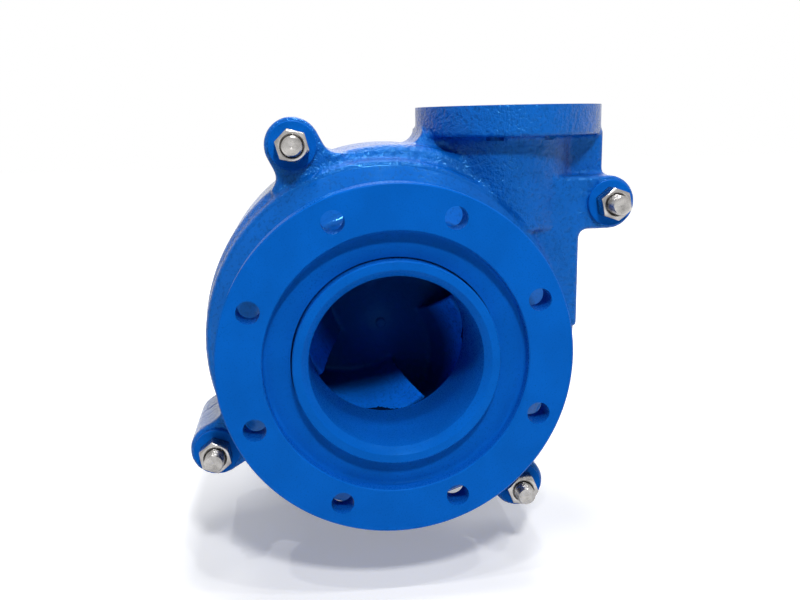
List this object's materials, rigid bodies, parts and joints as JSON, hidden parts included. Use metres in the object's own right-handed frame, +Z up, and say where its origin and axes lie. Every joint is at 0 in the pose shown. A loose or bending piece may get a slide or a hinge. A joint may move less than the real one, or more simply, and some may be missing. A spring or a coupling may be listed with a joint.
{
  "type": "slurry pump",
  "caption": "Horizontal split-case slurry pump with flanged suction, top discharge branch, closed impeller, packed gland and bearing assembly on a cast base.",
  "frame": {"origin": "on the floor under the middle of the pump's bounding box", "axes": "+Z up, +Y along the shaft line from the suction flange towards the drive end, +X to the right looking at the suction flange, the side of the discharge branch"},
  "size_m": [0.4756, 0.7, 0.487],
  "materials": {
    "pump_blue": "gloss",
    "bright_steel": "plated",
    "machined_steel": "machined",
    "hard_iron": "cast",
    "seal_rubber": "matte",
    "packing_yarn": "braided",
    "brass": "satin"
  },
  "bodies": {
    "casing": {"base_frame": "pump_blue", "frame_plate": "pump_blue", "cover_plate": "pump_blue", "volute_liner": "hard_iron", "throatbush": "pump_blue", "back_liner": "hard_iron", "suction_seal": "seal_rubber", "discharge_seal": "seal_rubber", "stuffing_box": "pump_blue", "lantern_ring": "brass", "packing_ring_1": "packing_yarn", "packing_ring_2": "packing_yarn", "packing_ring_3": "packing_yarn", "cover_bolt_1": "bright_steel", "cover_bolt_2": "bright_steel", "cover_bolt_3": "bright_steel", "cover_bolt_4": "bright_steel", "cover_nut_1": "bright_steel", "cover_nut_2": "bright_steel", "cover_nut_3": "bright_steel", "cover_nut_4": "bright_steel", "base_bolt_1": "bright_steel", "base_bolt_2": "bright_steel", "base_bolt_3": "bright_steel", "base_bolt_4": "bright_steel", "gland_stud_1": "bright_steel", "gland_stud_2": "bright_steel", "clamp_bolt_1": "bright_steel", "clamp_bolt_2": "bright_steel", "clamp_bolt_3": "bright_steel", "clamp_bolt_4": "bright_steel", "clamp_washer_1": "bright_steel", "clamp_washer_2": "bright_steel", "clamp_washer_3": "bright_steel", "clamp_washer_4": "bright_steel"},
    "bearing_cartridge": {"bearing_housing": "pump_blue", "end_cover_pump": "pump_blue", "end_cover_drive": "pump_blue", "outer_race_pump": "bright_steel", "outer_race_drive": "bright_steel", "grease_cup_pump": "brass", "grease_cup_drive": "brass", "adjusting_screw": "bright_steel"},
    "rotor": {"shaft": "machined_steel", "shaft_sleeve": "machined_steel", "impeller": "pump_blue", "inner_race_pump": "bright_steel", "inner_race_drive": "bright_steel", "labyrinth_pump": "machined_steel", "labyrinth_drive": "machined_steel", "shaft_key": "machined_steel", "bearing_locknut": "machined_steel"},
    "cage_pump": {"roller_cage_pump": "bright_steel"},
    "cage_drive": {"roller_cage_drive": "bright_steel"},
    "gland_follower": {"gland": "pump_blue", "gland_nut_1": "bright_steel", "gland_nut_2": "bright_steel"},
    "adjuster": {"adjusting_nut": "bright_steel"}
  },
  "joints": [
    {"name": "impeller_adjustment", "type": "slide", "parent": "casing", "child": "bearing_cartridge", "axis": [0, 1, 0], "range_m": [-0.001, 0.002]},
    {"name": "rotor_spin", "type": "hinge", "parent": "bearing_cartridge", "child": "rotor", "pos_m": [-0.02716, -0.35, 0.25], "axis": [0, 1, 0], "continuous": true},
    {"name": "cage_pump_turn", "type": "hinge", "parent": "bearing_cartridge", "child": "cage_pump", "pos_m": [-0.02716, 0.066, 0.25], "axis": [0, 1, 0], "continuous": true},
    {"name": "cage_drive_turn", "type": "hinge", "parent": "bearing_cartridge", "child": "cage_drive", "pos_m": [-0.02716, 0.224, 0.25], "axis": [0, 1, 0], "continuous": true},
    {"name": "gland_backing_off", "type": "slide", "parent": "casing", "child": "gland_follower", "axis": [0, 1, 0], "range_m": [0, 0.02]},
    {"name": "adjusting_nut_turn", "type": "hinge", "parent": "casing", "child": "adjuster", "pos_m": [-0.02716, 0.2868, 0.158], "axis": [0, 1, 0], "range_deg": [-150, 295]}
  ],
  "couplings": [
    {"joint": "cage_pump_turn", "follows": "rotor_spin", "ratio": 0.4399},
    {"joint": "cage_drive_turn", "follows": "rotor_spin", "ratio": 0.4399},
    {"joint": "adjusting_nut_turn", "follows": "impeller_adjustment", "rad_per_m": 2513.3}
  ]
}
